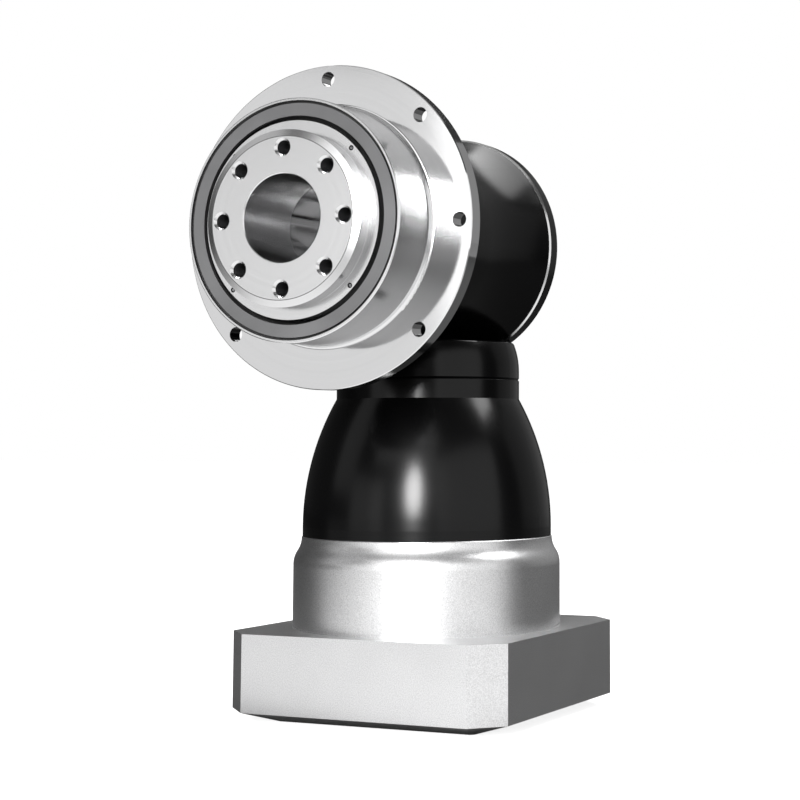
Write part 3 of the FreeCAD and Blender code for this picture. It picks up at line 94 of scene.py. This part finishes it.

# Room and floor as shiny surfaces see them. The floor's painted pool of light, a glow that only shiny
# surfaces see, is turned from the flange's front by an angle in degrees, begins within a range of metres
# ahead, and fades with the distance from the gearbox.
ROOM_LEVEL = 0.04
PAINTED_POOL_AZIMUTH = 14.0
PAINTED_POOL_LEVEL = 1.0
PAINTED_POOL_START = (0.06, 0.085)
PAINTED_POOL_FADE = (0.3, 0.65)
PAINTED_POOL_FAR = 0.25

# Floor as the camera sees it: its white near the gearbox, and the metres over which it reaches full white
WHITE_NEAR = 0.84
WHITE_FADE = (0.1, 0.45)
FLOOR_TONES = (0.1, 0.8)
FLOOR_HALF = 6.0

# Bands about the output axis, in metres: from and to behind the output face, inner and outer radius. The rear
# rim's band is a bare bevel on the paint; the other four are painted shade on the steel.
RIM_EDGE = (0.12635, 0.12705, 0.0452, 0.0463)
FACE_SHADOW_LINE = (-0.001, 0.0003, 0.0288, 0.0291)
SPIGOT_WALL = (0.001, 0.0064, 0.0313, 0.0317)
HUB_WALL = (0.0069, 0.0275, 0.0433, 0.044)
BORE_WALL = (0.0004, 0.063, 0.0, 0.0159)

# Share of the steel's colour that each band of painted shade keeps
PAINTED_SHADE_BANDS = ((FACE_SHADOW_LINE, 0.3), (SPIGOT_WALL, 0.5), (HUB_WALL, 0.4), (BORE_WALL, 0.7))


# Small helpers for shader trees

def add(tree, kind, **settings):
    """A node with its properties, or its inputs where the name is one of its sockets."""
    node = tree.nodes.new(kind)
    for name, setting in settings.items():
        label = name.replace("_", " ")
        if label in node.inputs:
            node.inputs[label].default_value = setting
        else:
            setattr(node, name, setting)
    return node


def math_node(tree, operation, first, second=None):
    node = add(tree, "ShaderNodeMath", operation=operation)
    for socket, source in zip(node.inputs, (first, second)):
        if source is None:
            continue
        if isinstance(source, (int, float)):
            socket.default_value = source
        else:
            tree.links.new(source, socket)
    return node.outputs[0]


def ranged(tree, source, low, high, start=0.0, end=1.0):
    """The source, which runs from start to end, spread from low to high."""
    node = add(tree, "ShaderNodeMapRange")
    tree.links.new(source, node.inputs["Value"])
    for name, setting in (("From Min", start), ("From Max", end), ("To Min", low), ("To Max", high)):
        node.inputs[name].default_value = setting
    return node.outputs["Result"]


def gray(level):
    return (level, level, level, 1.0)


def new_group(name, inputs, outputs):
    """A shader node group with float or vector inputs and float outputs."""
    tree = bpy.data.node_groups.new(name, "ShaderNodeTree")
    for label, kind, setting in inputs:
        socket = tree.interface.new_socket(label, in_out="INPUT", socket_type=kind)
        if setting is not None:
            socket.default_value = setting
    for label in outputs:
        tree.interface.new_socket(label, in_out="OUTPUT", socket_type="NodeSocketFloat")
    return tree, tree.nodes.new("NodeGroupInput"), tree.nodes.new("NodeGroupOutput")


def blasted_grain():
    """Fine pits of a blasted surface, and the slow drift of its tone."""
    tree, given, result = new_group(
        "blasted_grain",
        [("Vector", "NodeSocketVector", None), ("Grains", "NodeSocketFloat", 3.0)], ["Height", "Tone"])
    fine = add(tree, "ShaderNodeTexNoise", Detail=2.0, Roughness=0.6)
    slow = add(tree, "ShaderNodeTexNoise", Scale=35.0, Detail=3.0)
    scale = math_node(tree, "MULTIPLY", given.outputs["Grains"], 1000.0)
    tree.links.new(given.outputs["Vector"], fine.inputs["Vector"])
    tree.links.new(scale, fine.inputs["Scale"])
    tree.links.new(given.outputs["Vector"], slow.inputs["Vector"])
    tree.links.new(fine.outputs["Fac"], result.inputs["Height"])
    drift = math_node(tree, "MULTIPLY", slow.outputs["Fac"], 0.12)
    grain = math_node(tree, "MULTIPLY", fine.outputs["Fac"], 0.88)
    tone = ranged(tree, math_node(tree, "ADD", drift, grain), 0.0, 1.0, 0.3, 0.7)
    tree.links.new(tone, result.inputs["Tone"])
    return tree


def turned_lines():
    """Fine rings left by turning about the local Y axis, on faces and on cylinders alike."""
    tree, given, result = new_group(
        "turned_lines",
        [("Vector", "NodeSocketVector", None), ("Lines", "NodeSocketFloat", 4.0)], ["Height", "Tone"])
    parts = add(tree, "ShaderNodeSeparateXYZ")
    tree.links.new(given.outputs["Vector"], parts.inputs[0])
    square = math_node(tree, "ADD", math_node(tree, "POWER", parts.outputs["X"], 2.0),
                       math_node(tree, "POWER", parts.outputs["Z"], 2.0))
    radius = math_node(tree, "SQRT", square)
    along = math_node(tree, "ADD", radius, math_node(tree, "MULTIPLY", parts.outputs["Y"], 1.31))
    step = math_node(tree, "MULTIPLY", along, math_node(tree, "MULTIPLY", given.outputs["Lines"], 1000.0))
    fine = add(tree, "ShaderNodeTexNoise", noise_dimensions="1D", Scale=1.0, Detail=2.0, Roughness=0.7)
    tree.links.new(step, fine.inputs["W"])
    slow = add(tree, "ShaderNodeTexNoise", noise_dimensions="1D", Scale=0.12, Detail=1.0)
    tree.links.new(step, slow.inputs["W"])
    tree.links.new(fine.outputs["Fac"], result.inputs["Height"])
    blend = math_node(tree, "ADD", math_node(tree, "MULTIPLY", fine.outputs["Fac"], 0.6),
                      math_node(tree, "MULTIPLY", slow.outputs["Fac"], 0.4))
    tree.links.new(blend, result.inputs["Tone"])
    return tree


def handling_marks():
    """Soft smudges that change the gloss of a smooth surface."""
    tree, given, result = new_group("handling_marks", [("Vector", "NodeSocketVector", None)], ["Tone"])
    wide = add(tree, "ShaderNodeTexNoise", Scale=22.0, Detail=4.0, Roughness=0.55, Distortion=0.6)
    tree.links.new(given.outputs["Vector"], wide.inputs["Vector"])
    tree.links.new(ranged(tree, wide.outputs["Fac"], 0.0, 1.0, 0.3, 0.7), result.inputs["Tone"])
    return tree


GROUPS = {"grain": blasted_grain(), "turned": turned_lines(), "marks": handling_marks()}


class Finish:
    """A material with its Principled shader and Object coordinates centred on a point."""

    def __init__(self, name, colour, metallic, centre=(0.0, 0.0, 0.0)):
        self.material = bpy.data.materials.new(name)
        self.material.use_nodes = True
        self.tree = self.material.node_tree
        self.shader = self.tree.nodes["Principled BSDF"]
        self.shader.inputs["Metallic"].default_value = metallic
        self.colour = colour
        place = add(self.tree, "ShaderNodeTexCoord")
        shift = add(self.tree, "ShaderNodeMapping")
        shift.inputs["Location"].default_value = [-part for part in centre]
        self.tree.links.new(place.outputs["Object"], shift.inputs["Vector"])
        self.where = shift.outputs["Vector"]

    def use(self, group, **values):
        node = add(self.tree, "ShaderNodeGroup", node_tree=GROUPS[group])
        self.tree.links.new(self.where, node.inputs["Vector"])
        for label, setting in values.items():
            node.inputs[label].default_value = setting
        return node

    def tint(self, tone, dark, light):
        """Base colour that runs from dark to light times the finish's colour."""
        ramp = add(self.tree, "ShaderNodeValToRGB")
        for stop, share in zip(ramp.color_ramp.elements, (dark, light)):
            stop.color = [part * share for part in self.colour] + [1.0]
        self.tree.links.new(tone, ramp.inputs["Fac"])
        self.tree.links.new(ramp.outputs["Color"], self.shader.inputs["Base Color"])

    def along(self, axis, start, end):
        """A mask that rises from 0 at start to 1 at end along one of the coordinates."""
        parts = add(self.tree, "ShaderNodeSeparateXYZ")
        self.tree.links.new(self.where, parts.inputs[0])
        return ranged(self.tree, parts.outputs[axis], 0.0, 1.0, start, end)

    def band(self, start, end, inner, outer):
        """A mask that is 1 from start to end along Y and between two radii about it."""
        parts = add(self.tree, "ShaderNodeSeparateXYZ")
        self.tree.links.new(self.where, parts.inputs[0])
        square = math_node(self.tree, "ADD", math_node(self.tree, "POWER", parts.outputs["X"], 2.0),
                           math_node(self.tree, "POWER", parts.outputs["Z"], 2.0))
        mask = math_node(self.tree, "GREATER_THAN", square, inner * inner)
        for operation, source, limit in (("LESS_THAN", square, outer * outer),
                                         ("GREATER_THAN", parts.outputs["Y"], start),
                                         ("LESS_THAN", parts.outputs["Y"], end)):
            mask = math_node(self.tree, "MULTIPLY", mask, math_node(self.tree, operation, source, limit))
        return mask

    def shade(self, mask, share):
        """Painted shade: base colour that keeps only a share of itself where the mask is 1."""
        socket = self.shader.inputs["Base Color"]
        scaled = add(self.tree, "ShaderNodeVectorMath", operation="SCALE")
        self.tree.links.new(socket.links[0].from_socket, scaled.inputs[0])
        self.tree.links.new(ranged(self.tree, mask, 1.0, share), scaled.inputs["Scale"])
        self.tree.links.new(scaled.outputs["Vector"], socket)

    def bare(self, mask, colour):
        """Bare metal of a colour where the mask is 1."""
        socket = self.shader.inputs["Base Color"]
        mix = add(self.tree, "ShaderNodeMix", data_type="RGBA")
        self.tree.links.new(mask, mix.inputs[0])
        self.tree.links.new(socket.links[0].from_socket, mix.inputs[6])
        mix.inputs[7].default_value = (*colour, 1.0)
        self.tree.links.new(mix.outputs[2], socket)
        self.tree.links.new(mask, self.shader.inputs["Metallic"])

    def gloss(self, tone, low, high):
        self.tree.links.new(ranged(self.tree, tone, low, high), self.shader.inputs["Roughness"])

    def relief(self, height, strength, depth):
        bump = add(self.tree, "ShaderNodeBump", Strength=strength, Distance=depth)
        self.tree.links.new(height, bump.inputs["Height"])
        self.tree.links.new(bump.outputs["Normal"], self.shader.inputs["Normal"])


# Finishes, one for each slot of the record

def black_paint():
    """Gloss paint, with the bevel in front of the rear rim turned bare."""
    finish = Finish("black_paint", (0.002, 0.002, 0.0021), 0.0, OUTPUT_POINT)
    marks = finish.use("marks")
    peel = finish.use("grain", Grains=0.35)
    finish.tint(marks.outputs["Tone"], 0.85, 1.15)
    finish.bare(finish.band(*RIM_EDGE), (0.75, 0.75, 0.75))
    finish.gloss(marks.outputs["Tone"], 0.2, 0.23)
    finish.relief(peel.outputs["Height"], 0.03, 0.00005)
    finish.shader.inputs["Specular IOR Level"].default_value = 0.26
    return finish.material


def satin_aluminium():
    finish = Finish("satin_aluminium", (0.8, 0.8, 0.805), 1.0)
    grain = finish.use("grain", Grains=2.7)
    finish.tint(grain.outputs["Tone"], 0.72, 1.14)
    finish.gloss(grain.outputs["Tone"], 0.32, 0.38)
    finish.relief(grain.outputs["Height"], 0.3, 0.0001)
    return finish.material


def turned_steel():
    """Turned all over, and ground smooth on the flange's mounting face, with painted shade in bands at the
    face's edge, on the spigot and hub walls and in the bore.
    """
    finish = Finish("turned_steel", (0.8, 0.8, 0.805), 1.0, OUTPUT_POINT)
    lines = finish.use("turned", Lines=5.0)
    finish.tint(lines.outputs["Tone"], 0.93, 1.05)
    # Painted shade: each band keeps only a share of the steel's colour
    for band, share in PAINTED_SHADE_BANDS:
        finish.shade(finish.band(*band), share)
    behind = finish.along("Y", FLANGE_FRONT - 0.0001, FLANGE_FRONT - 0.00005)
    smooth = ranged(finish.tree, behind, 0.2, 0.04)
    rough = math_node(finish.tree, "MULTIPLY", lines.outputs["Tone"], 0.06)
    finish.tree.links.new(math_node(finish.tree, "ADD", smooth, rough), finish.shader.inputs["Roughness"])
    finish.relief(lines.outputs["Height"], 0.06, 0.00002)
    return finish.material


def plain_steel(name, colour, low, high):
    finish = Finish(name, colour, 1.0)
    marks = finish.use("marks")
    grain = finish.use("grain", Grains=1.2)
    finish.tint(marks.outputs["Tone"], 0.9, 1.08)
    finish.gloss(marks.outputs["Tone"], low, high)
    finish.relief(grain.outputs["Height"], 0.08, 0.00004)
    return finish.material


def seal_rubber():
    finish = Finish("seal_rubber", (0.012, 0.012, 0.012), 0.0)
    grain = finish.use("grain", Grains=1.6)
    finish.tint(grain.outputs["Tone"], 0.8, 1.2)
    finish.gloss(grain.outputs["Tone"], 0.5, 0.65)
    finish.relief(grain.outputs["Height"], 0.2, 0.00005)
    return finish.material


FINISHES = {
    "black_paint": black_paint(),
    "satin_aluminium": satin_aluminium(),
    "turned_steel": turned_steel(),
    "ground_steel": plain_steel("ground_steel", (0.56, 0.57, 0.58), 0.22, 0.34),
    "gear_steel": plain_steel("gear_steel", (0.42, 0.42, 0.43), 0.28, 0.4),
    "black_oxide_steel": plain_steel("black_oxide_steel", (0.02, 0.02, 0.021), 0.4, 0.5),
    "seal_rubber": seal_rubber(),
    "seal_face": plain_steel("seal_face", (0.25, 0.25, 0.254), 0.4, 0.5),
}


def dress_nodes():
    """Every node of the frame takes the finish of its slot."""
    for part in frame["record"]["subparts"]:
        mesh = frame["nodes"][part["node"]].data
        mesh.materials.clear()
        mesh.materials.append(FINISHES[part["material_slot"]])


# Threads in the screw holes and pins in the shoulder

def new_piece(name, shape, body, slot):
    """A piece of its own from a finished shape, which rides a body and takes a slot's finish."""
    bmesh.ops.recalc_face_normals(shape, faces=shape.faces)
    mesh = bpy.data.meshes.new(name)
    shape.to_mesh(mesh)
    shape.free()
    mesh.materials.append(FINISHES[slot])
    piece = bpy.data.objects.new(name, mesh)
    bpy.context.scene.collection.objects.link(piece)
    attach(piece, body)


def holes(mount, turn=0.0):
    """The middle of each hole's mouth in one of the frame's bolt circles, and the way into the holes."""
    out = Vector(MOUNTS[mount]["axis"])
    dims = MOUNTS[mount]["dims"]
    arm = Vector((dims["pcd_mm"] / 2 * MM, 0.0, 0.0))
    spots = [Vector(MOUNTS[mount]["pos_m"])
             + Matrix.Rotation(math.radians(turn + 360 * number / dims["count"]), 3, out) @ arm
             for number in range(dims["count"])]
    return spots, -out, dims["hole_r_mm"] * MM


def ring(shape, start, way, section):
    """A ring about the line from start along way. The section gives radius and depth of each corner."""
    side = way.orthogonal().normalized()
    corners = [shape.verts.new(start + way * depth + side * radius) for radius, depth in section]
    edges = [shape.edges.new((corners[number - 1], corners[number])) for number in range(len(corners))]
    bmesh.ops.spin(shape, geom=corners + edges, cent=start, axis=way, angle=2 * math.pi, steps=STEPS,
                   use_merge=True)


def coil(shape, start, way, radius, length):
    """One thread that stands in from the wall of a hole, which runs from start along way."""
    side = way.orthogonal().normalized()
    pitch, depth = THREAD_PITCH * MM, THREAD_DEPTH * MM
    root, crest = THREAD_ROOT * pitch, THREAD_CREST * pitch
    section = [(0.0, -root), (0.0, root), (depth, crest), (depth, -crest)]
    corners = [shape.verts.new(start + way * (pitch / 2 + along) + side * (radius - inward))
               for inward, along in section]
    first = shape.faces.new(corners)
    turns = int(length / THREAD_PITCH) - 1
    swept = bmesh.ops.spin(shape, geom=corners + list(first.edges), cent=start, axis=way,
                           dvec=way * pitch / STEPS, angle=2 * math.pi * turns, steps=STEPS * turns,
                           use_merge=False)
    shape.faces.new([item for item in swept["geom_last"] if isinstance(item, bmesh.types.BMVert)])


def output_threads():
    spots, way, radius = holes("output_bolts")
    depth, rise, length = THREAD_DEPTH * MM, MOUTH_RISE * MM, MOUTH_LENGTH * MM
    inner = radius - depth
    section = [(radius, 0.0), (inner, depth), (inner, length), (radius, length)]
    mouths, threads = bmesh.new(), bmesh.new()
    for spot in spots:
        ring(mouths, spot - way * rise, way, section)
        coil(threads, spot - way * (rise - length), way, radius, OUTPUT_THREAD)
    new_piece("output_hole_mouths", mouths, "output", "turned_steel")
    # The threads take the dark black_oxide_steel finish, which paints the shade inside the holes
    new_piece("output_hole_threads", threads, "output", "black_oxide_steel")


def shoulder_pins():
    """The small pins in the rotor's shoulder, each in a dark ring of painted shade that fills its hole."""
    way = -Vector(MOUNTS["output_spigot"]["axis"])
    centre = Vector(MOUNTS["output_spigot"]["pos_m"]) + way * PIN_DROP * MM
    hole_radius, pin, length = PIN_HOLE * MM, PIN_RADIUS * MM, PIN_LENGTH * MM
    shade_rings, pins = bmesh.new(), bmesh.new()
    for number in range(PIN_COUNT):
        turn = Matrix.Rotation(math.radians(PIN_TURN + 360 * number / PIN_COUNT), 3, way)
        spot = centre + turn @ Vector((PIN_CIRCLE * MM, 0.0, 0.0))
        # Painted shade: a dark ring fills the hole around each pin
        ring(shade_rings, spot, way, [(hole_radius, 0.0), (pin, 0.0), (pin, length), (hole_radius, length)])
        ring(pins, spot, way, [(pin, 0.0), (pin / 2, 0.0), (pin / 2, length), (pin, length)])
    new_piece("shoulder_pin_painted_shade", shade_rings, "output", "black_oxide_steel")
    new_piece("shoulder_pins", pins, "output", "ground_steel")


def motor_threads():
    spots, way, radius = holes("motor_bolts", MOTOR_TURN)
    threads = bmesh.new()
    for spot in spots:
        coil(threads, spot, way, radius, MOTOR_THREAD)
    new_piece("motor_hole_threads", threads, "housing", "satin_aluminium")


# Stage

def studio_world():
    """White to the camera, and a dim plain room to everything else."""
    world = bpy.data.worlds.new("studio")
    world.use_nodes = True
    tree = world.node_tree
    tree.nodes.clear()
    room = add(tree, "ShaderNodeBackground", Color=gray(ROOM_LEVEL), Strength=1.0)
    white = add(tree, "ShaderNodeBackground", Color=gray(1.0), Strength=1.0)
    path = add(tree, "ShaderNodeLightPath")
    mix = add(tree, "ShaderNodeMixShader")
    output = add(tree, "ShaderNodeOutputWorld")
    tree.links.new(path.outputs["Is Camera Ray"], mix.inputs[0])
    tree.links.new(room.outputs[0], mix.inputs[1])
    tree.links.new(white.outputs[0], mix.inputs[2])
    tree.links.new(mix.outputs[0], output.inputs["Surface"])
    bpy.context.scene.world = world


def floor():
    """A white floor that keeps the shadow and fades into the white background. Shiny surfaces see a painted
    pool of light glowing on it on the camera's side only, and dark behind the gearbox."""
    mesh = bpy.data.meshes.new("floor")
    shape = bmesh.new()
    bmesh.ops.create_grid(shape, x_segments=1, y_segments=1, size=FLOOR_HALF)
    shape.to_mesh(mesh)
    shape.free()
    piece = bpy.data.objects.new("floor", mesh)
    bpy.context.scene.collection.objects.link(piece)
    material = bpy.data.materials.new("floor_white")
    material.use_nodes = True
    tree = material.node_tree
    tree.nodes.clear()
    path = add(tree, "ShaderNodeLightPath")
    place = add(tree, "ShaderNodeTexCoord")
    reach = add(tree, "ShaderNodeVectorMath", operation="LENGTH")
    ahead = add(tree, "ShaderNodeVectorMath", operation="DOT_PRODUCT")
    turn = math.radians(PAINTED_POOL_AZIMUTH)
    ahead.inputs[1].default_value = (math.sin(turn), -math.cos(turn), 0.0)
    for node in (reach, ahead):
        tree.links.new(place.outputs["Object"], node.inputs[0])
    seen, glossy = path.outputs["Is Camera Ray"], path.outputs["Is Glossy Ray"]
    shade = add(tree, "ShaderNodeBsdfDiffuse")
    tone = add(tree, "ShaderNodeCombineColor")
    level = ranged(tree, seen, *FLOOR_TONES)
    for socket in tone.inputs[:3]:
        tree.links.new(level, socket)
    tree.links.new(tone.outputs["Color"], shade.inputs["Color"])
    glow = add(tree, "ShaderNodeEmission", Color=gray(1.0))
    bright = ranged(tree, reach.outputs["Value"], WHITE_NEAR, 1.0, *WHITE_FADE)
    white = math_node(tree, "MULTIPLY", seen, bright)
    # Painted light: a glow on the floor that only glossy rays see, ahead of the gearbox and near it
    side = ranged(tree, ahead.outputs["Value"], 0.0, PAINTED_POOL_LEVEL, *PAINTED_POOL_START)
    near = ranged(tree, reach.outputs["Value"], 1.0, PAINTED_POOL_FAR, *PAINTED_POOL_FADE)
    painted_pool = math_node(tree, "MULTIPLY", glossy, math_node(tree, "MULTIPLY", side, near))
    tree.links.new(math_node(tree, "ADD", white, painted_pool), glow.inputs["Strength"])
    both = add(tree, "ShaderNodeAddShader")
    output = add(tree, "ShaderNodeOutputMaterial")
    tree.links.new(shade.outputs[0], both.inputs[0])
    tree.links.new(glow.outputs[0], both.inputs[1])
    tree.links.new(both.outputs[0], output.inputs["Surface"])
    mesh.materials.append(material)


def softbox(name, azimuth, elevation, distance, width, height, brightness, shape="RECTANGLE"):
    """A lamp that faces the middle of the gearbox, sized in degrees as seen from there.
    Azimuth 0 is in front of the flange and grows towards the camera's side."""
    lamp = bpy.data.lights.new(name, "AREA")
    lamp.shape = shape
    lamp.size, lamp.size_y = [2 * distance * math.tan(math.radians(angle / 2)) for angle in (width, height)]
    area = lamp.size * lamp.size_y * (math.pi / 4 if shape == "ELLIPSE" else 1.0)
    lamp.energy = brightness * math.pi * area
    turn, rise = math.radians(azimuth), math.radians(elevation)
    way = Vector((math.sin(turn) * math.cos(rise), -math.cos(turn) * math.cos(rise), math.sin(rise)))
    piece = bpy.data.objects.new(name, lamp)
    piece.location = MIDDLE + way * distance
    piece.rotation_euler = way.to_track_quat("Z", "Y").to_euler()
    bpy.context.scene.collection.objects.link(piece)


def camera():
    lens = bpy.data.cameras.new("camera")
    lens.sensor_width = SENSOR_MM
    lens.lens = FOCAL_WIDTHS * SENSOR_MM
    lens.shift_x, lens.shift_y = LENS_SHIFT
    piece = bpy.data.objects.new("camera", lens)
    turn = Matrix.Rotation(math.radians(CAMERA_TURN), 4, "Z")
    tilt = Matrix.Rotation(math.radians(90 + CAMERA_PITCH), 4, "X")
    roll = Matrix.Rotation(math.radians(CAMERA_ROLL), 4, "Z")
    piece.matrix_world = Matrix.Translation(CAMERA_PLACE) @ turn @ tilt @ roll
    bpy.context.scene.collection.objects.link(piece)
    bpy.context.scene.camera = piece


dress_nodes()
output_threads()
shoulder_pins()
motor_threads()
studio_world()
floor()
softbox("front_left_box", -36, 6, 1.5, 21.5, 20, 0.78)
softbox("front_box", -19, 6, 1.5, 12.3, 20, 1.35)
softbox("left_box", -60, 30, 1.5, 24, 44, 0.5)
softbox("camera_lamp", 15.5, 13, 1.6, 14, 22, 50.0, "ELLIPSE")
softbox("front_fill", 16, 12, 2.2, 60, 60, 0.15)
softbox("upper_front_box", 4, 37, 1.6, 56, 22, 1.0)
softbox("right_box", 68, 8, 1.3, 62, 46, 1.0)
softbox("back_right_box", 155, 12, 1.5, 60, 40, 0.22)
softbox("high_right_box", 114, 50, 1.5, 18, 24, 9.5)
softbox("high_back_box", 172, 48, 1.6, 40, 24, 2.6)
softbox("top_box", 20, 88, 1.4, 50, 50, 0.35)
softbox("back_left_box", -138, 52, 1.5, 34, 28, 0.5)
camera()
bpy.context.scene.view_settings.view_transform = "Standard"
